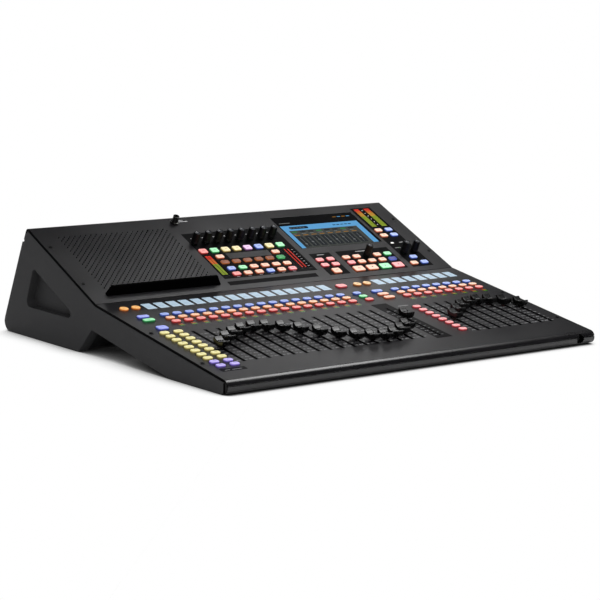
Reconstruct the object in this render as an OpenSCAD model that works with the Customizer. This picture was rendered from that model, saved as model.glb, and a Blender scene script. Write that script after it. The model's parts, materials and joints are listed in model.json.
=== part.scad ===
// Digital mixing console: two sloped sheet-metal panels between moulded end
// cheeks, a front rail, motorised faders, rotary encoders and lit keys.
//
// Frame: X runs from the left end to the right end, Y from front to back,
// Z up. The origin is on the table under the middle of the console.

/* [Body] */
// Width over the two end cheeks
console_w = 682; // [680:1:700]
// Distance from the front to the line where the two panels meet
crease_y = 322.4; // [320:0.2:324]
// Height of that line at the cheeks' top edge
crease_z = 76.8; // [76:0.2:80]
// Slope of the lower panel, which holds the faders
lower_slope = 10; // [9.8:0.1:10.2]
// Slope of the upper panel, which holds the display
upper_slope = 24.85; // [24:0.05:25.5]
// Distance from the meeting line to the rear top corner
upper_len = 213.4; // [212:0.2:215]
// Lean of the rear wall from upright
rear_lean = 24.1; // [23:0.1:25]
// Thickness of the two top panels
panel_t = 2; // [1.5:0.1:2.2]
// How far the panels lie inside the side view's outline
panel_drop = 0.8; // [0.5:0.1:1]
// Height of the cheeks above the table
cheek_lift = 0.8; // [0.5:0.1:1.5]

/* [Cheeks] */
// Depth of a cheek into the console
cheek_t = 16; // [14:1:16]
// Thickness of a cheek where it shows at the front
cheek_nose_t = 4; // [3.5:0.5:5]
// How far the panels end inside a cheek's outer face
panel_inset = 1.5; // [1:0.1:2.5]
// Height of the dark recess between a cheek's face and the panels
edge_drop = 4; // [3.6:0.1:4.4]
// How far a cheek's face stops behind the rounded front
nose_y = 8.8; // [8:0.1:10]
// Depth of the finger grip in each cheek
grip_depth = 15; // [12:0.5:17]

/* [Faders] */
// Distance between neighbouring channels
channel_pitch = 21.3; // [21:0.1:21.4]
// Channels in the left bank
left_bank = 16; // [16:1:16]
// Channels in the right bank
right_bank = 8; // [8:1:8]
// Travel of a fader
fader_travel = 100; // [95:1:101]
// Width of a slot in the panel
slot_w = 3.2; // [3:0.1:4]
// Width of a fader cap
cap_w = 13; // [11:0.5:13.5]
// Length of a fader cap
cap_len = 23; // [20:0.5:25]
// Height of a fader cap
cap_h = 11; // [9:0.5:12]

/* [Knobs and keys] */
// Diameter of a knob at its base
knob_d = 12.8; // [11:0.2:13.4]
// Height of a knob above the panel
knob_h = 19; // [16:0.5:20]
// Width of a small key
key_w = 13.8; // [12:0.2:14]
// Length of a small key
key_l = 8.6; // [8:0.2:9]
// Height of a key above the panel
key_h = 1.8; // [1.4:0.1:3]
// Travel of a key when it is pressed
key_travel = 1.2; // [0.8:0.1:1.5]
// Gap all round a key in its opening
key_gap = 0.5; // [0.4:0.05:0.6]

/* [Hidden] */
$fn = 40;
fader_names = [
  for (i = [1:left_bank + right_bank]) str("fader_cap_", i < 10 ? "0" : "", i),
  "fader_cap_main"
];
encoder_names = [for (i = [1:8]) str("encoder_knob_", i)];
eps = 0.1;            // overlap where a cutter passes through a face
big = 400;            // larger than any wall, for cutters that run right through

// ---- where things are ----

console_d = 583;                                   // front to back at the feet
half_w = console_w / 2;
front_s0 = 7;                                      // the lower panel's s = 0 lies here
front_z = crease_z - (crease_y - front_s0) * tan(lower_slope);
rear_y = crease_y + upper_len * cos(upper_slope);  // rear top corner
rear_z = crease_z + upper_len * sin(upper_slope);
rear_foot_y = rear_y + (rear_z - cheek_lift) * tan(rear_lean);
body_x0 = -half_w + cheek_t;                       // space between the cheeks
body_w = console_w - 2 * cheek_t;
panel_x0 = -half_w + panel_inset;
panel_w = console_w - 2 * panel_inset;

// X of something measured from the console's left end
function from_left(x) = x - half_w;

// rows on the lower panel, measured up the slope from its front edge
travel_s = 66;                                     // stem at the bottom of its travel
slot_s = travel_s - 11;                            // front end of the fader slots
slot_len = fader_travel + 25;
select_s = 251;
solo_s = 236;
mute_s = 221;
led_s = 208.5;
display_s = 291.5;
page_s = 288;
grid_pitch = 15.04;                                // rows of layer and mute group keys
left_x = from_left(72.4);                          // first channel of each bank
right_x = from_left(499.9);
main_x = from_left(424.5);
assign_x = from_left(464);
group_x = from_left(476);
layer_x = from_left(27.2);
layer_pitch = 22.9;

// rows on the upper panel, measured up the slope from the meeting line
encoder_s = 132;
encoder_key_s = 106.8;
encoder_x = from_left(254.1);
encoder_pitch = 21.05;
grid_x = from_left(273.8);
value_s = 56.8;
value_x = from_left(542.2);
level_s = 56;
phones_x = from_left(619.5);
monitor_x = from_left(641);
lamp_x = from_left(254);
lamp_s = 192.5;

function channel_x(i) = i < left_bank ? left_x + channel_pitch * i
  : right_x + channel_pitch * (i - left_bank);
// the caps rest in a sine wave, one period across the left bank
wave_s = travel_s + 0.447 * fader_travel;
wave_h = 0.435 * fader_travel;
main_rest_s = travel_s + 0.69 * fader_travel;
function cap_s(i) = wave_s + wave_h * sin(360 / left_bank * (i % left_bank));

module on_lower() {
  translate([0, front_s0 - console_d / 2, front_z]) rotate([lower_slope, 0, 0]) children();
}
module on_upper() {
  translate([0, crease_y - console_d / 2, crease_z]) rotate([upper_slope, 0, 0]) children();
}
// rear wall: local x to the right, y down the wall from the top corner, z outward
module on_rear() {
  translate([0, rear_y - console_d / 2, rear_z]) rotate([rear_lean - 90, 0, 0]) children();
}

// ---- outlines ----

function unit(v) = v / norm(v);
// arc that rounds corner p between its neighbours a and b
function corner(a, p, b, r, n) =
  let (u = unit(a - p), v = unit(b - p))
  let (half = acos(u * v) / 2, c = p + unit(u + v) * r / sin(half))
  let (t0 = p + u * r / tan(half) - c, t1 = p + v * r / tan(half) - c)
  let (a0 = atan2(t0.y, t0.x), da = atan2(t1.y, t1.x) - a0)
  let (sweep = da > 180 ? da - 360 : da < -180 ? da + 360 : da)
  [for (i = [0:n]) c + r * [cos(a0 + sweep * i / n), sin(a0 + sweep * i / n)]];
function xy(p) = [p.x, p.y];
// outline from corners given as [x, y, radius], with steps facets in each round corner
function rounded(pts, steps = 7) = let (n = len(pts)) [
  for (i = [0:n - 1])
    let (p = xy(pts[i]), a = xy(pts[(i + n - 1) % n]), b = xy(pts[(i + 1) % n]))
    each pts[i][2] > 0 ? corner(a, p, b, pts[i][2], steps) : [p]
];
// a closed anticlockwise outline moved inwards by d, with its radii cut to fit
function inset(pts, d) = let (n = len(pts)) [
  for (i = [0:n - 1])
    let (p = xy(pts[i]), a = xy(pts[(i + n - 1) % n]), b = xy(pts[(i + 1) % n]))
    let (e = unit(p - a), f = unit(b - p), m = [-e.y, e.x], k = [-f.y, f.x])
    let (q = p + d * (m + k) / (1 + m * k))
    [q.x, q.y, max(pts[i][2] - d, 0)]
];

// side view of a cheek, in Y from the front and Z, with the arch under it
arch_y0 = 135;
arch_y1 = 332;
arch_y2 = 368;
arch_z = 36.6;
outline = [
  [0, cheek_lift, 9.5], [arch_y0, cheek_lift, 12], [arch_y1, arch_z + cheek_lift, 3],
  [arch_y2, cheek_lift, 2], [rear_foot_y, cheek_lift, 14], [rear_y, rear_z, 9],
  [crease_y, crease_z, 0], [0, crease_z - crease_y * tan(lower_slope), 10.5]
];
// stands a Y-Z outline up and pulls it along X from x0, t thick
module along_x(x0, t) {
  translate([x0, -console_d / 2, 0]) rotate([90, 0, 90]) linear_extrude(t) children();
}
module rounded_bar(w, l, h, r, steps = 3) {
  pts = [[-w / 2, -l / 2, r], [w / 2, -l / 2, r], [w / 2, l / 2, r], [-w / 2, l / 2, r]];
  linear_extrude(h) polygon(rounded(pts, steps));
}

// ---- cheeks ----

skin = 3.5;                 // outer skin of a cheek
rim = 6.5;                  // wall round its edge
rail_back = 24;             // the rail fills the space between the cheeks up to here
grip = [[368, 46.2, 6.4], [518.8, 46.2, 8.5], [495.8, 106.3, 7]];
cup_wall = 2.5;
lower_screws = [65, 190];
upper_screws = [53, 154];
screw_x = 10.5;             // from the cheek's outer face
screw_d = 3;
edge_in = 3;                // the recess under the panels' edges goes this far in
nose_r = 3;                 // corners of the face's upright front edge
seat = panel_t + panel_drop + 0.05;        // the panels lie on the cheek at this depth
flange_s = 26;              // the seat is carried this far down the rear

// everything that can lie above the seat or in the recess
module top_zone() {
  polygon([
    [-1, 8], [rail_back, 8], [crease_y, crease_z - 12], rear_point(flange_s, -8),
    rear_point(flange_s, 12), [rear_y + 20, rear_z + 20], [-1, rear_z + 20]
  ]);
}
// a cheek's outer face: an upright front edge, its top edges below the panels
module face_outline() {
  edge = inset(outline, edge_drop);
  top_z = crease_z - (crease_y - nose_y) * tan(lower_slope) - edge_drop / cos(lower_slope);
  polygon(rounded([
    [nose_y, cheek_lift, nose_r], [arch_y0, cheek_lift, 0], edge[4], edge[5], edge[6],
    [nose_y, top_z, nose_r]
  ]));
}

// one cheek as it sits at the left end
module cheek() {
  difference() {
    union() {
      difference() {
        along_x(-half_w, cheek_t) polygon(rounded(outline));
        along_x(-half_w + skin, cheek_t) polygon(rounded(inset(outline, rim)));
        along_x(-half_w + cheek_nose_t, cheek_t)
          polygon([[-1, -1], [rail_back, -1], [rail_back, 60], [-1, 60]]);
      }
      along_x(-half_w, grip_depth + cup_wall) polygon(rounded(inset(grip, -cup_wall)));
      on_lower() for (s = lower_screws) screw_boss(s);
      on_upper() for (s = upper_screws) screw_boss(s);
    }
    along_x(-half_w - eps, grip_depth + eps) polygon(rounded(grip));
    // seat of the two panels, then the recess outside it
    along_x(-half_w + edge_in, cheek_t) difference() {
      top_zone();
      polygon(rounded(inset(outline, seat)));
    }
    along_x(-half_w - eps, edge_in + 2 * eps) difference() {
      top_zone();
      face_outline();
    }
    along_x(-half_w - eps, cheek_nose_t + 2 * eps) difference() {
      translate([-1, -1]) square([nose_y + nose_r + 1, front_z + 20]);
      face_outline();
    }
    on_lower() for (s = lower_screws) screw_hole(s);
    on_upper() for (s = upper_screws) screw_hole(s);
  }
}
module screw_boss(s) {
  translate([-half_w + screw_x, s, -12]) cylinder(h = 10, d = 8);
}
module screw_hole(s) {
  translate([-half_w + screw_x, s, -10]) cylinder(h = 20, d = screw_d + 0.2);
}
module left_cheek() {
  color("#3a3a3b") cheek();
}
module right_cheek() {
  color("#3a3a3b") mirror([1, 0, 0]) cheek();
}

// ---- layout of keys, windows and knobs ----

// each child is placed once per key of its row; $w and $l are the key's size
module at(x, s, w = key_w, l = key_l) {
  $w = w;
  $l = l;
  translate([x, s, 0]) children();
}
module strip_row(s) {
  for (i = [0:left_bank + right_bank - 1]) at(channel_x(i), s) children();
  at(main_x, s) children();
}
wide_key = 19.5;
module select_places() {
  strip_row(select_s) children();
  at(assign_x, select_s, wide_key) children();
}
module solo_places() {
  strip_row(solo_s) children();
  at(assign_x, solo_s, wide_key) children();
}
module mute_places() {
  strip_row(mute_s) children();
  at(assign_x, mute_s, wide_key) children();
  for (i = [0:7]) at(group_x, 170.3 - grid_pitch * i) children();
}
layer_rows = 10;
module layer_places() {
  for (i = [0:1], j = [0:layer_rows - 1])
    at(layer_x + layer_pitch * i, 182.4 - grid_pitch * j) children();
  at(from_left(36.3), select_s, 18.5) children();
  at(from_left(36.3), solo_s, 18.5) children();
  at(from_left(36.3), 202, 16.5, 12.6) children();
}
page_d = 13;
module page_places() {
  for (x = [28, 48, 454.8, 474]) at(from_left(x), page_s, page_d, page_d) children();
}
module main_page_place() {
  at(main_x - 1.5, page_s, 17, 12) children();
}
module channel_places() {
  for (i = [0:7]) at(encoder_x + encoder_pitch * i, encoder_key_s, 13.6, 11.6) children();
  for (i = [0, 5]) at(grid_x + channel_pitch * i, 88.6) children();
  for (s = [73.2, 55, 39.6], i = [0:5]) at(grid_x + channel_pitch * i, s) children();
}
bank_x = 444.6;
transport_x = 497.9;
large_pitch = 27;
module master_places() {
  for (s = [54.9, 39.8]) {
    for (i = [0:1]) at(from_left(bank_x + channel_pitch * i), s) children();
    for (i = [0:4])
      if (s < 50 || i != 2) at(from_left(transport_x + channel_pitch * i), s) children();
  }
  at(from_left(bank_x + channel_pitch / 2), 21.8, 15.4, 12.6) children();
  for (i = [0:3])
    at(from_left(transport_x + 1.8 + large_pitch * i), 21.2, 20, 13) children();
  for (i = [0:1], s = [122.8, 106.8, 22]) at(from_left(615.3 + 21.6 * i), s) children();
  at(from_left(626.4), 39) children();
}
module display_places() {
  for (i = [0:left_bank + right_bank - 1]) at(channel_x(i), display_s, 17.6, 25) children();
}
module strip_led_places() {
  for (i = [0:left_bank + right_bank - 1]) at(channel_x(i) + 1, led_s, 9.6, 10) children();
}
module meter_places() {
  at(from_left(254.5), 67.5, 17, 59) children();
  at(from_left(407.5), 67.5, 25, 59) children();
  at(from_left(628.5), 164, 40, 59) children();
}
module touch_place() {
  at(from_left(518), 138.5, 166, 93) children();
}
module encoder_places() {
  for (i = [0:7]) at(encoder_x + encoder_pitch * i, encoder_s) children();
}
module other_knob_places() {
  at(value_x, value_s) children();
  at(phones_x, level_s) children();
  at(monitor_x, level_s) children();
}
// openings in a panel, cut right through it
module opening(gap) {
  translate([-$w / 2 - gap, -$l / 2 - gap, -10]) cube([$w + 2 * gap, $l + 2 * gap, 20]);
}
module round_opening(d) {
  translate([0, 0, -10]) cylinder(h = 20, d = d);
}
window_gap = 0.15;
bushing_d = 7;

// ---- panels ----

roll_z = 13.2;              // the sheet is rolled over the front down to this height
lower_end_y = crease_y - 0.5;
module lower_sheet() {
  along_x(panel_x0, panel_w) intersection() {
    difference() {
      polygon(rounded(inset(outline, panel_drop)));
      polygon(rounded(inset(outline, panel_drop + panel_t)));
    }
    polygon([
      [-1, roll_z], [16, roll_z], [lower_end_y, crease_z - 12], [lower_end_y, rear_z],
      [-1, rear_z]
    ]);
  }
}
module lower_panel() {
  color("#38383b") difference() {
    lower_sheet();
    on_lower() lower_openings();
    socket_bore();
  }
}
module lower_openings() {
  for (i = [0:left_bank + right_bank - 1]) fader_slot(channel_x(i));
  fader_slot(main_x);
  select_places() opening(key_gap);
  solo_places() opening(key_gap);
  mute_places() opening(key_gap);
  layer_places() opening(key_gap);
  page_places() round_opening(page_d + 2 * key_gap);
  main_page_place() opening(key_gap);
  display_places() opening(window_gap);
  strip_led_places() opening(window_gap);
  panel_screw_holes(lower_screws);
}
module fader_slot(x) {
  translate([x - slot_w / 2, slot_s, -10]) cube([slot_w, slot_len, 20]);
}
module panel_screw_holes(rows) {
  for (side = [-1, 1], s = rows)
    translate([side * (half_w - screw_x), s, -10]) cylinder(h = 20, d = screw_d + 0.4);
}

vent_x = 37;                // vent area, from the left end
vent_w = 193;
vent_s = 38;
vent_l = 142;
vent_pitch = 6.57;          // distance between slots along both diagonals
vent_slot = [4.4, 1.6];
panel_r = 7;                // bend at the top of the rear edge
flange = 22;                // how far the upper panel folds down at the rear
module upper_panel() {
  inner_r = panel_r - panel_t;
  rear_s = upper_len - panel_drop;
  profile = [
    [0.6, -panel_drop - panel_t, 0], [rear_s - panel_t, -panel_drop - panel_t, inner_r],
    [rear_s - panel_t, -flange, 0], [rear_s, -flange, 0], [rear_s, -panel_drop, panel_r],
    [0.6, -panel_drop, 0]
  ];
  color("#38383b") on_upper() difference() {
    translate([panel_x0, 0, 0]) rotate([90, 0, 90])
      linear_extrude(panel_w) polygon(rounded(profile));
    vent_slots();
    channel_places() opening(key_gap);
    master_places() opening(key_gap);
    meter_places() opening(window_gap);
    touch_place() opening(window_gap);
    encoder_places() round_opening(bushing_d + 0.6);
    other_knob_places() round_opening(bushing_d + 0.6);
    translate([lamp_x, lamp_s, 0]) round_opening(lamp_thread_d + 0.3);
    panel_screw_holes(upper_screws);
  }
}
// short slots at 45 degrees on a lattice whose rows also run at 45 degrees
module vent_slots() {
  step = vent_pitch / sqrt(2);
  for (j = [0:floor(vent_l / step)], i = [0:floor(vent_w / step / 2)])
    if ((2 * i + j % 2) * step <= vent_w)
      translate([from_left(vent_x) + (2 * i + j % 2) * step, vent_s + j * step, -5])
        rotate(45) translate(-[vent_slot.x, vent_slot.y, 0] / 2)
          cube([vent_slot.x, vent_slot.y, 10]);
}

// ---- front rail ----

rail_x0 = -half_w + cheek_nose_t + 0.3;    // between the cheeks
rail_seam = 0.6;            // gap under the panel's rolled edge
rail_wall = 2.2;
hollow = [14.5, 5];         // front lower corner of the hollow behind the rail's face
hollow_h = 11;
jack_x = half_w - 31;
jack_z = 10.6;
nut_y = 10.65;              // floor of the counterbore for the socket's nut
nut_d = 14.5;
// the rounded front below the panel's rolled edge, back to a depth of y
module rail_section(y) {
  intersection() {
    union() {
      polygon(rounded(inset(outline, panel_drop + panel_t + 0.1)));
      intersection() {
        polygon(rounded(inset(outline, panel_drop)));
        square([y, roll_z - rail_seam]);
      }
    }
    square([y, rear_z]);
  }
}
// the rail runs between the cheeks, its front across their ends as well
module front_rail() {
  back = rail_back - 1;
  color("#2e2e30") difference() {
    union() {
      along_x(rail_x0, -2 * rail_x0) difference() {
        rail_section(back);
        translate(hollow) square([back - rail_wall - hollow.x, hollow_h]);
      }
      along_x(panel_x0, panel_w) rail_section(nose_y - 0.2);
    }
    socket_bore();
    translate([jack_x, -console_d / 2, jack_z]) rotate([-90, 0, 0])
      cylinder(h = rail_back + 1, d = jack_thread_d + 0.6);
  }
}
module socket_bore() {
  translate([jack_x, -console_d / 2, jack_z]) rotate([-90, 0, 0])
    cylinder(h = nut_y, d = nut_d);
}

// ---- chassis pan: floor and rear wall in one folded sheet ----

pan_t = 1.5;
floor_z = 4;
rear_recess = 3.2;          // the rear wall lies this far inside the cheeks' back edge
wall_top = 13;              // distance of the wall's top edge below the rear corner
foot_r = 13;                // bend between the floor and the rear wall
rear_dir = [sin(rear_lean), -cos(rear_lean)];
rear_out = [cos(rear_lean), sin(rear_lean)];
function rear_point(t, n) = [rear_y, rear_z] + t * rear_dir + n * rear_out;
// where the rear wall's line, n outside the cheeks' back edge, is at height z
function rear_at_z(z, n) =
  rear_point((rear_z + n * rear_out.y - z) / cos(rear_lean), n);
module chassis_pan() {
  top_out = rear_point(wall_top, -rear_recess);
  top_in = rear_point(wall_top, -rear_recess - pan_t);
  foot_out = rear_at_z(floor_z, -rear_recess);
  foot_in = rear_at_z(floor_z + pan_t, -rear_recess - pan_t);
  floor_up = floor_z + pan_t;
  rise = arch_z + 4;
  front = rail_back + 0.5;
  profile = [
    [front, floor_z, 2], [arch_y0 - 1, floor_z, 0], [arch_y1, rise, 0],
    [arch_y2 + 3, floor_z, 0], [foot_out.x, foot_out.y, foot_r], [top_out.x, top_out.y, 0],
    [top_in.x, top_in.y, 0], [foot_in.x, foot_in.y, foot_r - pan_t], [arch_y2 + 3.7, floor_up, 0],
    [arch_y1, rise + 2.05, 0], [arch_y0 - 1.1, floor_up, 0], [front + pan_t, floor_up, 0.5],
    [front + pan_t, 17, 0], [front, 17, 0]
  ];
  color("#2b2b2d") difference() {
    along_x(body_x0 + 0.4, body_w - 0.8) polygon(rounded(profile));
    on_rear() {
      xlr_places() round_opening(xlr_d + 0.6);
      jack_places() round_opening(jack_thread_d + 0.4);
      data_places() opening(0.3);
      inlet_place() opening(0.3);
      rocker_place() opening(0.3);
      rear_screw_places() round_opening(screw_d + 0.4);
    }
    translate([jack_x, -console_d / 2 + front - eps, jack_z]) rotate([-90, 0, 0])
      cylinder(h = 3, d = 12);
    for (i = [0:22]) translate([-220 + i * 20, 115, -1]) cube([5, 60, 12]);
  }
}

// ---- sockets ----

xlr_d = 23.6;
xlr_pitch = 33;
jack_thread_d = 9;
module xlr_places() {
  for (i = [0:11], t = [46, 88]) at(-298 + xlr_pitch * i, t, 26, 31) children();
  for (i = [0:4], t = [46, 88]) at(118 + xlr_pitch * i, t, 26, 31) children();
}
module jack_places() {
  for (i = [0:9]) at(-298 + 22 * i, 130) children();
}
module data_places() {
  for (i = [0:1]) at(-62 + 26 * i, 130, 16, 14) children();
  at(-8, 130, 12, 11) children();
  at(22, 130, 26, 4) children();
}
module inlet_place() {
  at(293, 92, 28, 23) children();
}
module rocker_place() {
  at(293, 50, 20, 26) children();
}
module rear_screw_places() {
  for (side = [-1, 1], t = [34, 110]) at(side * (half_w - cheek_t - 7), t) children();
}
module xlr_socket() {
  difference() {
    union() {
      translate([0, 0, -rear_recess]) rounded_bar($w, $l, 2, 2);
      translate([0, 0, -rear_recess - 20]) cylinder(h = 20.2, d = xlr_d);
    }
    translate([0, 0, -rear_recess - 14]) cylinder(h = 30, d = 18.6);
  }
  translate([0, 0, -rear_recess - 14.2]) cylinder(h = 8, d = 8.4);
}
module jack_socket(wall) {
  difference() {
    union() {
      translate([-7, -7, -22 - wall]) cube([14, 14, 20]);
      translate([0, 0, -2.2 - wall]) cylinder(h = wall + 4.2, d = jack_thread_d);
      translate([0, 0, 0]) cylinder(h = 1.8, d = 12, $fn = 6);
    }
    translate([0, 0, -18]) cylinder(h = 40, d = 6.5);
  }
}
module data_socket() {
  difference() {
    translate([-$w / 2, -$l / 2, -rear_recess - 16]) cube([$w, $l, 17]);
    translate([-$w / 2 + 1.4, -$l / 2 + 1.1, -rear_recess - 12])
      cube([$w - 2.8, $l - 2.2, 20]);
  }
}
module mains_inlet() {
  difference() {
    union() {
      translate([-$w / 2, -$l / 2, -rear_recess - 20]) cube([$w, $l, 20.2]);
      translate([0, 0, -rear_recess]) rounded_bar($w + 18, $l + 4, 2, 3);
    }
    translate([-$w / 2 + 3, -$l / 2 + 3, -rear_recess - 14]) cube([$w - 6, $l - 6, 30]);
  }
  for (x = [-6, 0, 6]) translate([x - 1, x == 0 ? -4 : 0, -rear_recess - 14.2]) cube([2, 4, 11]);
}
module rocker_frame() {
  difference() {
    union() {
      translate([-$w / 2, -$l / 2, -rear_recess - 16]) cube([$w, $l, 16.2]);
      translate([0, 0, -rear_recess]) rounded_bar($w + 4, $l + 4, 1.5, 1.5);
    }
    translate([-$w / 2 + 1.5, -$l / 2 + 1.5, -rear_recess - 14]) cube([$w - 3, $l - 3, 30]);
  }
}
module panel_sockets() {
  color("#1d1d1f") {
    on_rear() {
      xlr_places() xlr_socket();
      translate([0, 0, -rear_recess]) jack_places() jack_socket(pan_t);
      data_places() data_socket();
      inlet_place() mains_inlet();
      rocker_place() rocker_frame();
    }
    translate([jack_x, nut_y - 0.05 - console_d / 2, jack_z]) rotate([90, 0, 0]) phones_jack();
  }
}
module phones_jack() {
  difference() {
    union() {
      translate([-6, -4.9, -40]) cube([12, 10.9, 24]);
      translate([0, 0, -16.2]) cylinder(h = 18.2, d = jack_thread_d);
      cylinder(h = 1.8, d = 12, $fn = 6);
    }
    translate([0, 0, -38]) cylinder(h = 60, d = 6.5);
  }
}
lamp_thread_d = 11;
lamp_d = 9.6;
lamp_h = 11;                // barrel above the nut
module lamp_socket() {
  color("#57564f") on_upper() translate([lamp_x, lamp_s, -panel_drop]) difference() {
    union() {
      translate([0, 0, -14]) cylinder(h = 14.1, d = lamp_thread_d);
      translate([0, 0, 0]) cylinder(h = 2.5, d = 14.5, $fn = 6);
      translate([0, 0, 2.4]) cylinder(h = lamp_h, d = lamp_d);
    }
    translate([0, 0, 5]) cylinder(h = 20, d = 8.1);
  }
}

// ---- top fittings ----

module tablet_ledge() {
  x0 = from_left(30.7);
  x1 = from_left(230.7);
  h = 14;
  taper = 8;
  color("#0c0c0d") on_upper() translate([0, 0, -panel_drop]) intersection() {
    translate([x0, 0, 0]) rotate([90, 0, 90]) linear_extrude(x1 - x0)
      polygon(rounded([[17, 0, 0], [24.5, 0, 0], [24.5, h, 1.2], [20.7, h, 1.2]]));
    translate([0, 60, 0]) rotate([90, 0, 0]) linear_extrude(60)
      polygon([[x0, 0], [x1, 0], [x1 - taper, h], [x0 + taper, h]]);
  }
}
module window_block(depth) {
  translate([-$w / 2, -$l / 2, -panel_drop - depth]) cube([$w, $l, depth]);
}
module touch_display() {
  color("#101418") on_upper() touch_place() {
    window_block(2.4);
    translate([-78, -43, -panel_drop - 9.5]) cube([156, 86, 7]);
  }
}
module channel_displays() {
  color("#c8e6fa") on_lower() display_places() window_block(4);
}
module meter_windows() {
  color("#5a3a20") {
    on_lower() strip_led_places() window_block(4);
    on_upper() meter_places() window_block(4);
  }
}
module panel_screws() {
  color("#151516") {
    on_lower() screws(lower_screws);
    on_upper() screws(upper_screws);
    on_rear() rear_screw_places() translate([0, 0, -rear_recess]) screw();
  }
}
module screws(rows) {
  for (side = [-1, 1], s = rows)
    translate([side * (half_w - screw_x), s, -panel_drop + 0.02]) screw();
}
module screw() {
  difference() {
    union() {
      cylinder(h = 1.1, d = 5.6);
      translate([0, 0, -1]) cylinder(h = 1.1, d = screw_d);
    }
    translate([0, 0, 0.3]) cylinder(h = 3, d = 2.6, $fn = 6);
  }
}
module rubber_feet() {
  color("#141414") for (x = [-280, 280], y = [45, 395, 550])
    translate([x, y - console_d / 2, 0]) difference() {
      cylinder(h = floor_z - 0.05, d = 20);
      translate([0, 0, -1]) cylinder(h = 3, d = 6);
    }
}

// ---- inside ----

body_depth = 16;            // fader channel below the panel
stem_w = 8;
module fader_body(x) {
  top = -panel_drop - panel_t - 0.4;
  s0 = slot_s - 9;
  l = slot_len + 22;
  translate([x, s0, top - body_depth]) difference() {
    translate([-6.5, 0, 0]) cube([13, l, body_depth]);
    translate([-5.5, 1, 1]) cube([11, l - 2, body_depth - 2]);
    translate([-2.2, 8, 5]) cube([4.4, slot_len + 2, body_depth]);
  }
  translate([x, slot_s + 90, top - body_depth - 6.8]) rotate([-90, 0, 0]) cylinder(h = 34, d = 13);
}
module fader_bodies() {
  color("#9a9a96") on_lower() {
    for (i = [0:left_bank + right_bank - 1]) fader_body(channel_x(i));
    fader_body(main_x);
  }
}
board_t = 1.6;
module board(x0, x1, s0, s1, z) {
  translate([x0, s0, z]) cube([x1 - x0, s1 - s0, board_t]);
}
lower_board_z = -11;
upper_board_z = -13.4;
module circuit_boards() {
  color("#1f5a38") {
    on_lower() {
      board(body_x0 + 2, -body_x0 - 2, 197, 312, lower_board_z);
      board(body_x0 + 2, from_left(62), 34, 194, lower_board_z);
      board(from_left(440), from_left(488), 50, 194, lower_board_z);
    }
    on_upper() {
      board(from_left(240), -body_x0 - 2, 8, 172, upper_board_z);
      encoder_places() encoder();
      other_knob_places() encoder();
    }
    translate([-300, 388 - console_d / 2, 14]) cube([460, 130, board_t]);
    for (x = [-290, -150, 10, 150], y = [396, 508])
      translate([x, y - console_d / 2, floor_z + pan_t + 0.05]) cylinder(h = 8.4, d = 6);
  }
}
// an encoder sits on its board and holds the knob's shaft in a bushing
module encoder() {
  z = upper_board_z + board_t + 0.05;
  difference() {
    union() {
      translate([-6, -6, z]) cube([12, 12, 6.4]);
      translate([0, 0, z + 6]) cylinder(h = 5.6, d = bushing_d);
    }
    translate([0, 0, z + 1]) cylinder(h = 30, d = 6.1);
  }
}
module power_supply() {
  color("#b8b8b4") difference() {
    translate([190, 392 - console_d / 2, floor_z + pan_t + 0.05]) cube([110, 125, 44]);
    for (i = [0:9]) translate([202 + 9 * i, 400 - console_d / 2, 30]) cube([4, 110, 40]);
    translate([192, 394 - console_d / 2, floor_z + pan_t + 2]) cube([106, 121, 40]);
  }
}

// ---- moving pieces ----

key_low = -6;               // underside of a key's foot
key_foot = 0.8;             // how far the foot spreads under the panel
module key_cap(r = 1.6) {
  foot_top = -panel_drop - panel_t - 0.5;
  w = $w + 2 * key_foot;
  l = $l + 2 * key_foot;
  translate([0, 0, foot_top - 0.1]) rounded_bar($w, $l, key_h - foot_top + 0.1, r, 2);
  translate([-w / 2, -l / 2, key_low]) cube([w, l, foot_top - key_low]);
}
module round_key() {
  foot_top = -panel_drop - panel_t - 0.5;
  translate([0, 0, foot_top - 0.1]) cylinder(h = key_h - foot_top + 0.1, d = page_d);
  translate([0, 0, key_low]) cylinder(h = foot_top - key_low, d = page_d + 2 * key_foot);
}
module select_keys() {
  color("#8fa8f0") on_lower() select_places() key_cap();
}
module solo_keys() {
  color("#f0b070") on_lower() solo_places() key_cap();
}
module mute_keys() {
  color("#f08088") on_lower() mute_places() key_cap();
}
module layer_keys() {
  color("#f0e070") on_lower() {
    layer_places() key_cap();
    page_places() round_key();
    main_page_place() key_cap(3);
  }
}
module channel_keys() {
  color("#f0c8a0") on_upper() channel_places() key_cap();
}
module master_keys() {
  color("#f0c0a8") on_upper() master_places() key_cap();
}

shaft_d = 5.9;
knob_low = 0.6;             // gap line above the panel
// knob with a fluted grip, and the shaft that turns with it in the encoder
module knob(x, s) {
  z = upper_board_z + board_t + 1.5;
  color("#17171a") on_upper() translate([x, s, 0]) {
    difference() {
      union() {
        translate([0, 0, knob_low]) cylinder(h = 3, d = knob_d);
        translate([0, 0, knob_low + 2.9]) cylinder(h = knob_h - knob_low - 2.9, d = knob_d - 1);
      }
      translate([0, 0, knob_low - 1]) cylinder(h = 14, d = shaft_d + 0.1);
      translate([0, 0, knob_h - 0.6]) cylinder(h = 2, d = knob_d - 3.4);
      for (a = [0:30:330]) rotate(a) translate([knob_d / 2 - 0.2, 0, knob_low + 4])
        cylinder(h = knob_h, d = 1);
    }
    translate([0, 0, z]) cylinder(h = knob_low + 12.6 - z, d = shaft_d);
  }
}
module value_knob() {
  knob(value_x, value_s);
}
module monitor_knob() {
  knob(monitor_x, level_s);
}
module phones_knob() {
  knob(phones_x, level_s);
}

cap_low = 1;                // underside of a fader cap above the cheeks' edge level
saddle_h = 3.6;             // depth and half length of the finger hollow in a cap
saddle_l = 7.8;
saddle_r = (saddle_h * saddle_h + saddle_l * saddle_l) / (2 * saddle_h);
end_slope = 10;             // lean of a cap's two ends
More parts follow.
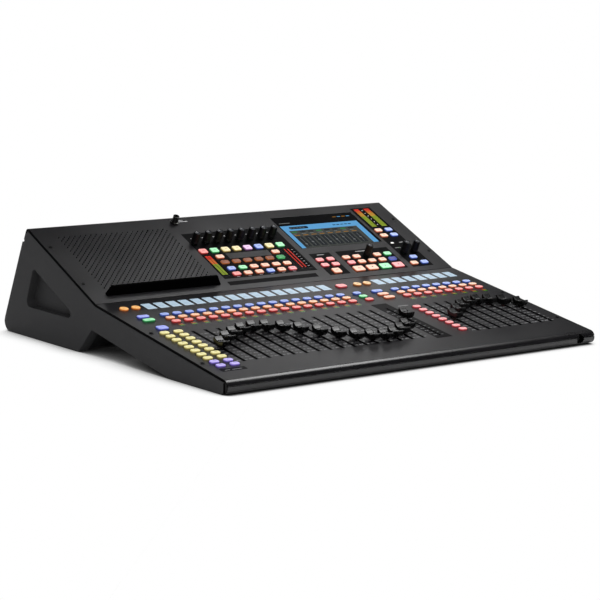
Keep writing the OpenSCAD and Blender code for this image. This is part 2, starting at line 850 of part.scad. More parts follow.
// a saddle-shaped cap on a flat metal stem that reaches into the fader
module fader_cap(x, s) {
  color("#111113") on_lower() translate([x, s, 0]) {
    difference() {
      translate([0, 0, cap_low]) rounded_bar(cap_w, cap_len, cap_h, 1.2);
      translate([-cap_w, 0, cap_low + cap_h - saddle_h + saddle_r]) rotate([0, 90, 0])
        cylinder(h = 2 * cap_w, r = saddle_r);
      // both ends slope in towards the top
      for (side = [0, 1]) mirror([0, side, 0]) translate([-cap_w, cap_len / 2 - 2, cap_low + cap_h])
        rotate([end_slope, 0, 0]) translate([0, 0, -big]) cube([2 * cap_w, 10, 2 * big]);
    }
    translate([-0.7, -stem_w / 2, -13]) cube([1.4, stem_w, 13 + cap_low + 4]);
  }
}

rocker_tilt = 7;
// rocker of the mains switch; it turns about a line along X
module power_rocker() {
  color("#161616") on_rear() rocker_place() translate([0, 0, -rear_recess - 2])
    rotate([rocker_tilt, 0, 0]) difference() {
      translate([-7.5, 0, 0]) rotate([0, 90, 0]) cylinder(h = 15, r = 10.6, $fn = 64);
      for (side = [0, 1]) mirror([0, side, 0]) rotate([14, 0, 0]) translate([-20, -1, 3.2])
        cube([40, 40, 20]);
      translate([-20, -20, -24]) cube([40, 40, 18]);
    }
}

left_cheek();
right_cheek();
upper_panel();
lower_panel();
front_rail();
chassis_pan();
tablet_ledge();
touch_display();
channel_displays();
meter_windows();
fader_bodies();
circuit_boards();
power_supply();
panel_sockets();
lamp_socket();
panel_screws();
rubber_feet();
select_keys();
solo_keys();
mute_keys();
layer_keys();
channel_keys();
master_keys();
value_knob();
monitor_knob();
phones_knob();
power_rocker();
fader_cap(main_x, main_rest_s);  // fader_cap_main
for (i = [0:left_bank + right_bank - 1])
  fader_cap(channel_x(i), cap_s(i % left_bank));
for (i = [0:7])
  knob(encoder_x + encoder_pitch * i, encoder_s);
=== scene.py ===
"""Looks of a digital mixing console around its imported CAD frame.

Everything on the two sloped panels is laid out in plate millimetres: x from the
console's left end, s up the slope from the panel's front line and n out of the
panel's surface. The plates themselves are found from the frame's joint axes.
"""
import json
import math
import random

import bmesh
import bpy
import numpy as np
from mathutils import Matrix, Vector


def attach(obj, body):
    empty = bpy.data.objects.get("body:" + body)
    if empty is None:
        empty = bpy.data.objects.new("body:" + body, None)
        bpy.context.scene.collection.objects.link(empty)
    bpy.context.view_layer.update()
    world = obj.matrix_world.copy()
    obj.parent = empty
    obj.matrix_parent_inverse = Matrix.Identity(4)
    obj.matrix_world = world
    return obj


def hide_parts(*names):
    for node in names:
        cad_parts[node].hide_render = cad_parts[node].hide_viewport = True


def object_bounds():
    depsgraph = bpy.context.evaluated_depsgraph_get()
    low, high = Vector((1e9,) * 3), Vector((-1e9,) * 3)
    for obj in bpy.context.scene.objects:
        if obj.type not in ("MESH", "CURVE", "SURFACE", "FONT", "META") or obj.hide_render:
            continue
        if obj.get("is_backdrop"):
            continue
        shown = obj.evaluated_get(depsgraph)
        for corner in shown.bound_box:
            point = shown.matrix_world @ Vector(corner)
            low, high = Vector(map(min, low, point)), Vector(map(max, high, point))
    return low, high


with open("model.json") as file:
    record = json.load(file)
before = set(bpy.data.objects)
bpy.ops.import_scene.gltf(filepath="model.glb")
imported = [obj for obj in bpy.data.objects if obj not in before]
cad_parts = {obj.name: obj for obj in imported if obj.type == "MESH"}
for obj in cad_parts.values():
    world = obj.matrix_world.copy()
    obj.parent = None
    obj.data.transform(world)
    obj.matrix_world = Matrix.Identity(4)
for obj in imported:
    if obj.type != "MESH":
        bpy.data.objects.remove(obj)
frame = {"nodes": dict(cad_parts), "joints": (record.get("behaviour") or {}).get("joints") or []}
cad_lo, cad_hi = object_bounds()
nodes = frame["nodes"]
axes = {j["name"]: Vector(j["axis"]) for j in frame["joints"]}
MM = 0.001
rng = random.Random(11)


def lin(*rgb):
    """Linear colour from 0..255 display values."""
    c = [v / 255 for v in rgb]
    return tuple(v / 12.92 if v <= 0.04045 else ((v + 0.055) / 1.055) ** 2.4 for v in c)


# ---------------------------------------------------------------- plates

X = Vector((1, 0, 0))


class Plate:
    """A flat panel's own millimetre frame."""

    def __init__(self, along, normal, left, start, top):
        self.s, self.n = along.normalized(), normal.normalized()
        origin = X * left + self.s * start + self.n * top
        turn = Matrix((X, self.s, self.n)).transposed().to_4x4()
        self.matrix = Matrix.Translation(origin) @ turn @ Matrix.Scale(MM, 4)
        self.inverse = self.matrix.inverted()

    def local(self, points):
        m = np.array(self.inverse)
        return points @ m[:3, :3].T + m[:3, 3]


def coords(node):
    co = np.zeros(len(nodes[node].data.vertices) * 3, np.float32)
    nodes[node].data.vertices.foreach_get("co", co)
    return co.reshape(-1, 3).astype(float)


def islands(node, plate):
    """The separate solids of a node, each as its points in plate millimetres."""
    co = coords(node)
    key, same = np.unique(np.round(co, 6), axis=0, return_inverse=True)
    parent = list(range(len(key)))

    def root(i):
        while parent[i] != i:
            parent[i] = parent[parent[i]]
            i = parent[i]
        return i

    same = same.reshape(-1)
    for p in nodes[node].data.polygons:
        a = root(same[p.vertices[0]])
        for v in p.vertices[1:]:
            parent[root(same[v])] = a
    groups = {}
    for i in range(len(key)):
        groups.setdefault(root(i), []).append(i)
    return [plate.local(key[g]) for g in groups.values()]


def plate_on(panel, along, normal, anchor, first):
    """The panel's frame; the front of the anchor node lies first mm up its slope."""
    start = (coords(anchor) @ np.array(along)).min() - first * MM
    return Plate(along, normal, cad_lo.x, start, (coords(panel) @ np.array(normal)).max())


low_n = -axes["select_keys_press"]
up_n = -axes["channel_keys_press"]
low = plate_on("lower_panel", low_n.cross(X), low_n, "channel_displays", 279)
up = plate_on("upper_panel", up_n.cross(X), up_n, "upper_panel", 0.6)
facing = {}
for p in nodes["chassis_pan"].data.polygons:
    if p.normal.y > 0.5:
        k = tuple(round(v, 3) for v in p.normal)
        facing[k] = facing.get(k, 0) + p.area
wall = Vector(max(facing, key=facing.get)).normalized()
wall_pts = [nodes["chassis_pan"].data.vertices[v].co.copy()
            for p in nodes["chassis_pan"].data.polygons
            if p.normal.dot(wall) > 0.999 for v in p.vertices]
down = wall.cross(X)
rear = Plate(down, wall, 0, min(p.dot(down) for p in wall_pts) - 13 * MM,
             max(p.dot(wall) for p in wall_pts))

# ---------------------------------------------------------------- materials


class Tree:
    """A material's node tree, with its Principled shader ready."""

    def __init__(self, name):
        self.material = bpy.data.materials.new(name)
        self.material.use_nodes = True
        self.tree = self.material.node_tree
        self.tree.nodes.clear()
        self.out = self.add("ShaderNodeOutputMaterial")
        self.bsdf = self.add("ShaderNodeBsdfPrincipled")
        self.join(self.bsdf.outputs[0], self.out.inputs[0])

    def add(self, kind, **values):
        node = self.tree.nodes.new(kind)
        for name, value in values.items():
            if name in node.inputs:
                node.inputs[name].default_value = value
            else:
                setattr(node, name, value)
        return node

    def join(self, a, b):
        self.tree.links.new(a, b)

    def put(self, name, value):
        socket = self.bsdf.inputs[name]
        if isinstance(value, bpy.types.NodeSocket):
            self.join(value, socket)
        else:
            socket.default_value = value

    def noise(self, scale, detail=3, stretch=None):
        place = self.add("ShaderNodeTexCoord").outputs["Object"]
        if stretch:
            squeeze = self.add("ShaderNodeMapping")
            squeeze.inputs["Scale"].default_value = stretch
            self.join(place, squeeze.inputs["Vector"])
            place = squeeze.outputs[0]
        node = self.add("ShaderNodeTexNoise", Scale=scale, Detail=detail)
        self.join(place, node.inputs["Vector"])
        return node.outputs[0]

    def ramp(self, value, *stops):
        node = self.add("ShaderNodeValToRGB")
        e = node.color_ramp.elements
        while len(e) < len(stops):
            e.new(0.5)
        for element, (at, color) in zip(e, stops):
            element.position = at
            element.color = (*color, 1) if len(color) == 3 else color
        self.join(value, node.inputs[0])
        return node.outputs[0]

    def math(self, op, a, b=0.0, c=0.0):
        node = self.add("ShaderNodeMath", operation=op)
        for socket, v in zip(node.inputs, (a, b, c)):
            if isinstance(v, bpy.types.NodeSocket):
                self.join(v, socket)
            else:
                socket.default_value = v
        return node.outputs[0]

    def mix(self, factor, a, b):
        node = self.add("ShaderNodeMix", data_type="RGBA")
        for socket, v in ((node.inputs[0], factor), (node.inputs[6], a), (node.inputs[7], b)):
            if isinstance(v, bpy.types.NodeSocket):
                self.join(v, socket)
            else:
                socket.default_value = (*v, 1) if isinstance(v, tuple) else v
        return node.outputs[2]

    def bump(self, height, strength, distance, normal=None):
        node = self.add("ShaderNodeBump", Strength=strength, Distance=distance)
        self.join(height, node.inputs["Height"])
        if normal is not None:
            self.join(normal, node.inputs["Normal"])
        return node.outputs[0]

    def aligned(self, quantity, way):
        """Dot product of the surface's Normal or Position with a direction."""
        node = self.add("ShaderNodeVectorMath", operation="DOT_PRODUCT")
        self.join(self.add("ShaderNodeNewGeometry").outputs[quantity], node.inputs[0])
        node.inputs[1].default_value = way
        return node.outputs["Value"]

    def beyond(self, value, limit):
        """1 where value is above limit, else 0."""
        return self.math("GREATER_THAN", value, limit)

    def paint_black_shade(self, mask):
        """Paints matt black shade over the finish where mask is 1."""
        for name, black in (("Base Color", (0.002, 0.002, 0.002)), ("Specular IOR Level", 0.05)):
            socket = self.bsdf.inputs[name]
            if name == "Base Color":
                self.join(self.mix(mask, socket.links[0].from_socket, black), socket)
            else:
                self.put(name, self.math("MULTIPLY_ADD", mask, black - socket.default_value,
                                         socket.default_value))

    def edges(self, radius):
        """1 on sharp outer edges, 0 elsewhere."""
        soft = self.add("ShaderNodeBevel", samples=4, Radius=radius)
        sharp = self.add("ShaderNodeNewGeometry")
        dot = self.add("ShaderNodeVectorMath", operation="DOT_PRODUCT")
        self.join(soft.outputs[0], dot.inputs[0])
        self.join(sharp.outputs["Normal"], dot.inputs[1])
        return self.ramp(dot.outputs["Value"], (0.7, (1, 1, 1)), (0.985, (0, 0, 0)))


def surface(name, tone, rough=0.5, grain=700, bump=0.2, metal=0.0, coat=0.0, wear=0.0,
            spec=0.5, stretch=None, vary=0.12, depth=0.0002):
    """An opaque finish: mottled tone, grain bump, uneven roughness and worn edges."""
    t = Tree(name)
    fine = t.noise(grain, 4, stretch)
    broad = t.noise(9, 3)
    darker = tuple(c * (1 - vary) for c in tone)
    lighter = tuple(min(1, c * (1 + vary) + 0.001) for c in tone)
    color = t.ramp(t.math("MULTIPLY_ADD", fine, 0.5, t.math("MULTIPLY", broad, 0.5)),
                   (0.35, darker), (0.65, lighter))
    if wear:
        rub = t.math("MULTIPLY", t.edges(0.0006), t.ramp(t.noise(60, 5), (0.4, (0, 0, 0)),
                                                        (0.7, (wear,) * 3)))
        color = t.mix(rub, color, tuple(min(1, c * 3 + 0.06) for c in tone))
    t.put("Base Color", color)
    t.put("Roughness", t.math("MULTIPLY_ADD", broad, 0.18, rough - 0.09))
    t.put("Metallic", metal)
    t.put("Specular IOR Level", spec)
    t.put("Coat Weight", coat)
    t.put("Coat Roughness", 0.08)
    t.put("Normal", t.bump(fine, bump, depth))
    surface.last = t
    return t.material


def lamp(name, colour, strength, base=0.5, rough=0.25):
    """A lit window or LED: coloured plastic that also gives light."""
    t = Tree(name)
    tone = t.ramp(t.noise(260, 2), (0.3, tuple(c * 0.9 for c in colour)), (0.7, colour))
    t.put("Base Color", tuple(c * base for c in colour) + (1,))
    t.put("Emission Color", tone)
    t.put("Emission Strength", strength)
    t.put("Roughness", rough)
    t.put("Normal", t.bump(t.noise(1500, 2), 0.05, 0.0001))
    return t.material


def key_finish(name, top, skirt, strength, top_light=1.0):
    """Translucent lit key: deep colour on the skirt, paler on top, painted darker at the skirt's
    foot as shade and paler towards the right as a painted sheen.
    """
    t = Tree(name)
    rise = t.add("ShaderNodeAttribute", attribute_name="rise").outputs["Fac"]
    where = t.add("ShaderNodeSeparateXYZ")
    t.join(t.add("ShaderNodeNewGeometry").outputs["Position"], where.inputs[0])
    # painted sheen: the top grows paler towards the right
    painted_sheen_rightwards = t.math("MULTIPLY_ADD", where.outputs[0], 1.5, 0.5)
    deep = tuple(a * 0.75 + b * 0.25 for a, b in zip(top, skirt))
    crown = t.mix(painted_sheen_rightwards, deep, top)
    # painted shade: the skirt darkens towards its foot where it meets the panel
    side = t.ramp(rise, (0.05, tuple(c * 0.15 for c in skirt)), (0.25, tuple(
        c * 0.6 for c in skirt)), (0.42, skirt), (0.6, deep))
    shade = t.mix(t.ramp(rise, (0.62, (0, 0, 0)), (0.9, (1, 1, 1))), side, crown)
    cloud = t.noise(220, 2)
    tone = t.mix(t.ramp(cloud, (0.3, (0, 0, 0)), (0.75, (0.12,) * 3)), shade, (1.0, 1.0, 1.0))
    t.put("Base Color", tone)
    t.put("Emission Color", shade)
    t.put("Emission Strength", t.math("MULTIPLY", t.ramp(
        rise, (0.1, (0.9,) * 3), (0.9, (top_light,) * 3)), strength))
    t.put("Roughness", t.math("MULTIPLY_ADD", cloud, 0.15, 0.34))
    t.put("Normal", t.bump(t.noise(2400, 2), 0.1, 0.0001))
    return t.material


def paint_shade_on_side_faces():
    """Mask of the faces that look sideways, the ends of sheet and rail, painted matt black as
    shade.
    """
    t = surface.last
    side = t.math("ABSOLUTE", t.aligned("Normal", (1, 0, 0)))
    t.paint_black_shade(t.beyond(side, 0.7))


panel_paint = surface("panel_paint", (0.009, 0.0085, 0.01), 0.33, 1400, 0.2, wear=0.2, spec=0.75)
t = surface.last                       # the rolled front is glossier than the field
rolled = t.math("LESS_THAN", t.aligned("Position", (0, 1, 0)), cad_lo.y + 9 * MM)
t.put("Roughness", t.math("MULTIPLY_ADD", rolled, -0.06,
                          t.bsdf.inputs["Roughness"].links[0].from_socket))
# painted shade: the sideways faces of the panel sheets are painted black
paint_shade_on_side_faces()
cheek_grain_and_painted_shade = surface("cheek_moulding", (0.062, 0.062, 0.063), 0.5, 900, 0.5, wear=0.3, spec=0.3)
t = surface.last                       # the recess under the panels and the nose are painted black as shade
inner = t.math("LESS_THAN", t.math("ABSOLUTE", t.aligned("Position", (1, 0, 0))),
               cad_hi.x - 0.7 * MM)
high = t.math("MULTIPLY", *(t.beyond(t.aligned("Position", tuple(q.n)),
                                     q.matrix.translation.dot(q.n) - 3.4 * MM)
                            for q in (low, up)))
nose = t.math("LESS_THAN", t.aligned("Position", (0, 1, 0)),
              min(v.co.y for v in nodes["left_cheek"].data.vertices) + 0.3 * MM)
# painted shade: the recess and the nose are turned matt black
t.paint_black_shade(t.math("MAXIMUM", t.math("MULTIPLY", inner, high), nose))
rail_paint = surface("rail_black", (0.003, 0.003, 0.0032), 0.2, 1400, 0.12, wear=0.15, spec=1.0,
                     coat=0.25)
# painted shade: the sideways faces of the rail are painted black
paint_shade_on_side_faces()
chassis_paint = surface("chassis_paint", (0.02, 0.02, 0.021), 0.5, 1200, 0.35, wear=0.4)
ledge_rubber = surface("ledge_rubber", (0.001, 0.001, 0.001), 0.8, 500, 0.5, spec=0.02)
glass_black = surface("display_glass", (0.003, 0.003, 0.0035), 0.12, 60, 0.01, coat=1, vary=0.05)
lens_black = surface("meter_lens", (0.004, 0.0035, 0.0035), 0.16, 200, 0.02, coat=0.5)
print_black = surface("print_black", (0.003, 0.003, 0.0035), 0.35, 1200, 0.12, spec=0.05)
steel = surface("fader_steel", (0.5, 0.5, 0.48), 0.35, 700, 0.2, metal=1, stretch=(1, 14, 1))
board_green = surface("board_green", (0.02, 0.12, 0.05), 0.3, 240, 0.4, coat=0.4, vary=0.4)
supply_steel = surface("supply_steel", (0.55, 0.55, 0.53), 0.4, 500, 0.25, metal=1,
                       stretch=(12, 1, 1))
socket_black = surface("socket_black", (0.012, 0.012, 0.013), 0.4, 900, 0.25, wear=0.4)
contact_metal = surface("contact_metal", (0.72, 0.7, 0.64), 0.28, 900, 0.15, metal=1)
lamp_metal = surface("lamp_metal", (0.2, 0.2, 0.19), 0.25, 800, 0.2, metal=1, wear=0.6)
screw_black = surface("screw_black", (0.012, 0.012, 0.012), 0.42, 900, 0.2, metal=0.4, wear=0.8)
foot_rubber = surface("foot_rubber", (0.012, 0.012, 0.012), 0.85, 400, 0.5, spec=0.2)
knob_rubber = surface("knob_rubber", (0.0035, 0.0035, 0.004), 0.4, 900, 0.25, spec=0.3)
# painted highlight: the knob's top dish is lighter and bluish than its black grip
knob_top_painted_sheen = surface("knob_top_painted_sheen", (0.03, 0.034, 0.042), 0.35, 700, 0.15)
cap_black = surface("cap_black", (0.0025, 0.0025, 0.0025), 0.26, 1300, 0.08, spec=0.5)
cap_line = surface("cap_line", (0.42, 0.42, 0.42), 0.4, 900, 0.1)
rocker_black = surface("rocker_black", (0.01, 0.01, 0.011), 0.25, 900, 0.15)
ink_grey = surface("ink_grey", (0.5, 0.5, 0.51), 0.5, 2500, 0.3, vary=0.3)
ink_white = surface("ink_white", (0.6, 0.6, 0.6), 0.5, 2500, 0.2)
ink_dark = surface("ink_dark", (0.02, 0.015, 0.02), 0.5, 2500, 0.2)

# key colours: letter -> (name, top, skirt, light given off)
KEYS = {
    "B": ("blue", lin(168, 186, 236), lin(66, 104, 216), 0.42),
    "O": ("orange", lin(250, 210, 176), lin(236, 120, 50), 0.43),
    "P": ("peach", lin(248, 208, 184), lin(236, 116, 66), 0.42),
    "R": ("red", lin(248, 166, 160), lin(224, 45, 48), 0.43),
    "K": ("pink", lin(246, 172, 172), lin(228, 66, 76), 0.42),
    "G": ("green", lin(176, 244, 194), lin(40, 190, 96), 0.42),
    "Y": ("yellow", lin(240, 234, 172), lin(220, 204, 120), 0.46),
    "y": ("cream", lin(244, 232, 186), lin(212, 186, 96), 0.42),
    "U": ("purple", lin(200, 188, 246), lin(140, 116, 228), 0.44),
    "V": ("violet", lin(172, 182, 246), lin(92, 106, 226), 0.44),
    "L": ("lilac", lin(240, 206, 236), lin(190, 124, 196), 0.42),
    "o": ("amber", lin(250, 196, 116), lin(235, 126, 25), 0.44),
    "p": ("pale_amber", lin(244, 210, 160), lin(222, 132, 56), 0.42),
    # painted highlight: these dim keys are dark on top, with bright glowing skirts painted as the
    # highlight along their edges
    "D": ("dim_orange", lin(104, 50, 20), lin(220, 120, 50), 0.42),
    "d": ("dim_green", lin(26, 120, 62), lin(90, 225, 130), 0.5),
    "b": ("dim_blue", lin(40, 52, 130), lin(110, 135, 250), 0.5),
}
key_mats = {c: key_finish("key_" + n, top, skirt, g) for c, (n, top, skirt, g) in KEYS.items()}

# ---------------------------------------------------------------- meshes


class Shape:
    """Collects solids in plate millimetres and turns them into one object."""

    def __init__(self, plate=None):
        self.plate, self.v, self.f, self.m, self.smooth, self.rise = plate, [], [], [], [], []
        self.materials = []

    def slot_of(self, material):
        if material not in self.materials:
            self.materials.append(material)
        return self.materials.index(material)

    def add(self, verts, faces, material, smooth=False, rise=0.0):
        base, slot = len(self.v), self.slot_of(material)
        self.v += [tuple(p) for p in verts]
        self.rise += list(rise) if hasattr(rise, "__len__") else [rise] * len(verts)
        for f in faces:
            self.f.append([base + i for i in f])
            self.m.append(slot)
            self.smooth.append(smooth)

    def loft(self, rings, material, smooth=True, rise=0.0, close=(True, True)):
        n = len(rings[0])
        faces = []
        for k in range(len(rings) - 1):
            for i in range(n):
                j = (i + 1) % n
                faces.append([k * n + i, k * n + j, (k + 1) * n + j, (k + 1) * n + i])
        if close[0]:
            faces.append(list(range(n))[::-1])
        if close[1]:
            faces.append([(len(rings) - 1) * n + i for i in range(n)])
        if hasattr(rise, "__len__"):
            rise = [r for r in rise for _ in range(n)]
        self.add([p for r in rings for p in r], faces, material, smooth, rise)

    def box(self, x0, x1, s0, s1, n0, n1, material):
        ring = [(x0, s0), (x1, s0), (x1, s1), (x0, s1)]
        self.loft([[(x, s, n) for x, s in ring] for n in (n0, n1)], material, False)

    def pad(self, x, s, w, l, r, n0, n1, material, soft=0.0, steps=3):
        """Rounded rectangle with its top edge rounded by soft."""
        rings = [rrect(x, s, w, l, r, n0, steps)]
        if soft:
            for a in (0, 30, 60, 90):
                d = soft * (1 - math.cos(math.radians(a)))
                rings.append(rrect(x, s, w - 2 * d, l - 2 * d, max(r - d, 0.05),
                                   n1 - soft + soft * math.sin(math.radians(a)), steps))
        else:
            rings.append(rrect(x, s, w, l, r, n1, steps))
        self.loft(rings, material, bool(soft))

    def turned(self, x, s, profile, material, facets=40, ripple=None, close=(True, True)):
        """Lathe about the plate normal; profile is (radius, n); ripple(angle, n) adds to it."""
        rings = []
        for r, n in profile:
            ring = []
            for i in range(facets):
                a = 2 * math.pi * i / facets
                q = r + (ripple(a, n) if ripple else 0)
                ring.append((x + q * math.cos(a), s + q * math.sin(a), n))
            rings.append(ring)
        self.loft(rings, material, True, close=close)

    def make(self, name, body, finish_slot=None, stands_for=(), angle=35):
        mesh = bpy.data.meshes.new(name)
        mesh.from_pydata(self.v, [], self.f)
        for m in self.materials:
            mesh.materials.append(m)
        mesh.polygons.foreach_set("material_index", self.m)
        mesh.polygons.foreach_set("use_smooth", self.smooth)
        rise = mesh.attributes.new("rise", "FLOAT", "POINT")
        rise.data.foreach_set("value", self.rise)
        if self.plate:
            mesh.transform(self.plate.matrix)
        mesh.update()
        if any(self.smooth):
            mesh.set_sharp_from_angle(angle=math.radians(angle))
        o = bpy.data.objects.new(name, mesh)
        bpy.context.scene.collection.objects.link(o)
        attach(o, body)
        if stands_for:
            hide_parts(*stands_for)
        return o


def rrect(x, s, w, l, r, n, steps=3):
    r = min(r, w / 2 - 0.001, l / 2 - 0.001)
    ring = []
    for cx, cs, a0 in ((1, -1, -90), (1, 1, 0), (-1, 1, 90), (-1, -1, 180)):
        for i in range(steps + 1):
            a = math.radians(a0 + 90 * i / steps)
            ring.append((x + cx * (w / 2 - r) + r * math.cos(a),
                         s + cs * (l / 2 - r) + r * math.sin(a), n))
    return ring


def sheet(shape, x0, x1, s0, s1, n0, n1, material, holes=()):
    """A thin printed or inlaid area with rectangular holes (x0, x1, s0, s1)."""
    holes = [h for h in holes if h[1] > x0 and h[0] < x1 and h[3] > s0 and h[2] < s1]
    xs = sorted({x0, x1, *(min(max(v, x0), x1) for h in holes for v in h[:2])})
    ss = sorted({s0, s1, *(min(max(v, s0), s1) for h in holes for v in h[2:])})
    nx, ns = len(xs) - 1, len(ss) - 1

    def solid(i, j):
        if not (0 <= i < nx and 0 <= j < ns):
            return False
        cx, cs = (xs[i] + xs[i + 1]) / 2, (ss[j] + ss[j + 1]) / 2
        return not any(h[0] < cx < h[1] and h[2] < cs < h[3] for h in holes)

    verts, faces = [], []
    index = {}

    def vert(i, j, top):
        k = (i, j, top)
        if k not in index:
            index[k] = len(verts)
            verts.append((xs[i], ss[j], n1 if top else n0))
        return index[k]

    for i in range(nx):
        for j in range(ns):
            if not solid(i, j):
                continue
            c = [(i, j), (i + 1, j), (i + 1, j + 1), (i, j + 1)]
            faces.append([vert(*p, True) for p in c])
            faces.append([vert(*p, False) for p in c[::-1]])
            for k, (di, dj) in enumerate(((0, -1), (1, 0), (0, 1), (-1, 0))):
                if not solid(i + di, j + dj):
                    a, b = c[k], c[(k + 1) % 4]
                    faces.append([vert(*a, False), vert(*b, False), vert(*b, True),
                                  vert(*a, True)])
    shape.add(verts, faces, material)


def spots(node, plate, above=-1.0):
    """Centre and size of each solid of a node on its plate: x, s, w, l, top."""
    out = []
    for pts in islands(node, plate):
        cap = pts[pts[:, 2] > above]
        if not len(cap):
            continue
        lo, hi = cap.min(0), cap.max(0)
        out.append(((lo[0] + hi[0]) / 2, (lo[1] + hi[1]) / 2, hi[0] - lo[0], hi[1] - lo[1],
                    hi[2]))
    return sorted(out, key=lambda k: (-k[1], k[0]))


def rows_of(found, gap=4):
    """Groups spots into rows from the rear to the front, each sorted by x."""
    rows = []
    for k in found:
        if rows and rows[-1][0][1] - k[1] < gap:
            rows[-1].append(k)
        else:
            rows.append([k])
    return [sorted(r) for r in rows]


# ---------------------------------------------------------------- keys

KEY_PROFILE = ((0.0, -1.0, 0.0), (0.0, 0.0, 0.1), (0.0, 0.55, 0.35), (0.1, 0.78, 0.55),
               (0.3, 0.92, 0.75), (0.65, 0.98, 0.92), (1.2, 0.99, 1.0))


def key(shape, k, material, r):
    x, s, w, l, top = k
    if abs(w - l) < 0.3 and 12 < w < 14:
        r = w / 2
    rings, rise = [], []
    steps = 5 if r < 5 else 8
    for d, z, up_to in KEY_PROFILE:
        rings.append(rrect(x, s, w - 2 * d, l - 2 * d, max(r - d * 0.6, 0.6), z * top, steps))
        rise.append(up_to)
    flat = rings[-1]
    for share, z in ((0.6, 0.992), (0.25, 1.0)):
        rings.append([(x + (p[0] - x) * share, s + (p[1] - s) * share, z * top) for p in flat])
        rise.append(1.0)
    shape.loft(rings, material, True, rise)


def key_group(node, plate, codes, slot_name, corner):
    found = rows_of(spots(node, plate))
    shape = Shape(plate)
    assert [len(r) for r in found] == [len(c) for c in codes], (
        node, [(round(r[0][1]), len(r)) for r in found])
    for row, letters in zip(found, codes):
        for k, c in zip(row, letters):
            key(shape, k, key_mats[c], corner)
            x, s, w, l, top = k
            if c in "Ddb":
                continue
            if w > 14.5 or l > 11:
                icon(shape, x, s, top, c, w)
            else:
                shape.box(x - w * 0.17, x + w * 0.17, s - 0.45, s + 0.45, top * 0.9,
                          top + 0.02, ink_soft[c])
    shape.make(node + "_lit", node, slot_name, (node,))
    return found


def icon(shape, x, s, top, c, w):
    """Plain transport-like signs and bars on the larger keys."""
    n0, n1 = top * 0.9, top + 0.02
    if w > 19.8:
        marks = {0: "rewind", 1: "stop", 2: "play", 3: "record"}
        kind = marks[icon.count % 4]
        icon.count += 1
        if kind == "stop":
            shape.box(x - 1.3, x + 1.3, s - 1.1, s + 1.1, n0, n1, ink_dark)
        elif kind == "record":
            shape.turned(x, s, [(1.4, n0), (1.4, n1)], ink_dark, 16)
        else:
            for dx in ((0,) if kind == "play" else (-1.6, 1.2)):
                way = 1 if kind == "play" else -1
                tri = [(x + dx - way * 1.2, s - 1.4), (x + dx + way * 1.3, s),
                       (x + dx - way * 1.2, s + 1.4)][::way]
                shape.loft([[(a, b, n) for a, b in tri] for n in (n0, n1)], ink_dark, False)
    else:
        shape.box(x - w * 0.16, x + w * 0.16, s - 0.5, s + 0.5, n0, n1, ink_soft[c])


icon.count = 0
ink_soft = {c: surface("ink_" + n, tuple(v * 0.45 for v in top), 0.5, 2500, 0.2)
            for c, (n, top, skirt, g) in KEYS.items()}

BANKS = (16, 8)
lower_keys = []
lower_keys += key_group("select_keys", low, ["B" * 26], "key_blue", 3.7)
lower_keys += key_group("solo_keys", low, ["O" * 16 + "GP" + "P" * 8], "key_orange", 3.7)
lower_keys += key_group("mute_keys", low, ["R" * 16 + "RP" + "R" * 8] + ["K"] * 8, "key_red",
                        3.7)
lower_keys += key_group("layer_keys", low,
                        ["ooKpp", "V", "G", "V"] + ["YY"] * 8 + ["UU"] * 2, "key_yellow",
                        3.2)
upper_keys = []
upper_keys += key_group("channel_keys", up, ["RGyyLByG", "PP", "DDDDDd", "BGPPPP", "RPPBPK"],
                        "key_warm", 2.4)
upper_keys += key_group("master_keys", up,
                        ["PB", "PB", "KKPPPG", "KKKPPPbB", "PPPGKPB"], "key_pink",
                        2.4)

# ---------------------------------------------------------------- fader caps


def cap_mesh():
    """A saddle-shaped fader cap on its stem, in millimetres about the stem."""
    shape = Shape()
    half_l, horn, dip, base, width = 11.4, 12.7, 9.2, 1.9, 12.8
    rings = []
    steps = 36
    for i in range(steps + 1):
        t = -1 + 2 * i / steps
        s = half_l * math.sin(t * math.pi / 2)
        u = abs(s) / half_l
        rise = dip + (horn - dip) * (min(u, 0.82) / 0.82) ** 2.2
        top = rise if u < 0.82 else horn - 0.1 * (u - 0.82)
        low_edge = base + 4.4 * max(0, (u - 0.62) / 0.38) ** 1.6
        if u > 0.93:
            k = min(1.0, (u - 0.93) / 0.07)
            round_off = 1 - math.sqrt(max(0.0, 1 - k * k))
            top -= round_off * 1.2
            low_edge += round_off * 1.6
        w = width * (1 - 0.06 * max(0, (u - 0.9) / 0.1) ** 2)
        ring = []
        for a in range(9):
            ang = math.radians(90 * a / 8)
            ring.append((w / 2 - 2.4 + 2.4 * math.sin(ang), s,
                         low_edge + 3.0 - 3.0 * math.cos(ang)))
        for a in range(6):
            ang = math.radians(90 * a / 5)
            ring.append((w / 2 - 0.7 + 0.7 * math.cos(ang), s,
                         top - 0.7 + 0.7 * math.sin(ang)))
        ring += [(w / 4, s, top - 0.05), (0.0, s, top - 0.08)]
        mirrored = [(-x, y, z) for x, y, z in ring[-2::-1]]
        rings.append(ring + mirrored)
    shape.loft(rings[::-1], cap_black, True)
    shape.box(-5.9, 5.9, -0.3, 0.3, dip - 0.5, dip - 0.02, cap_line)
    shape.box(-0.7, 0.7, -4, 4, -12.2, 5, steel)
    return shape


cap_shape = cap_mesh()
cap_nodes = sorted(n for n in nodes if n.startswith("fader_cap"))
for name in cap_nodes:
    pts = low.local(coords(name))
    lo, hi = pts.min(0), pts.max(0)
    place = Shape(low)
    place.materials = cap_shape.materials
    mid = ((lo[0] + hi[0]) / 2, (lo[1] + hi[1]) / 2)
    place.v = [(x + mid[0], s + mid[1], n) for x, s, n in cap_shape.v]
    place.f, place.m, place.smooth, place.rise = (cap_shape.f, cap_shape.m, cap_shape.smooth,
                                                  cap_shape.rise)
    place.make(name + "_cap", name, "cap_black", (name,), angle=40)

# ---------------------------------------------------------------- knobs


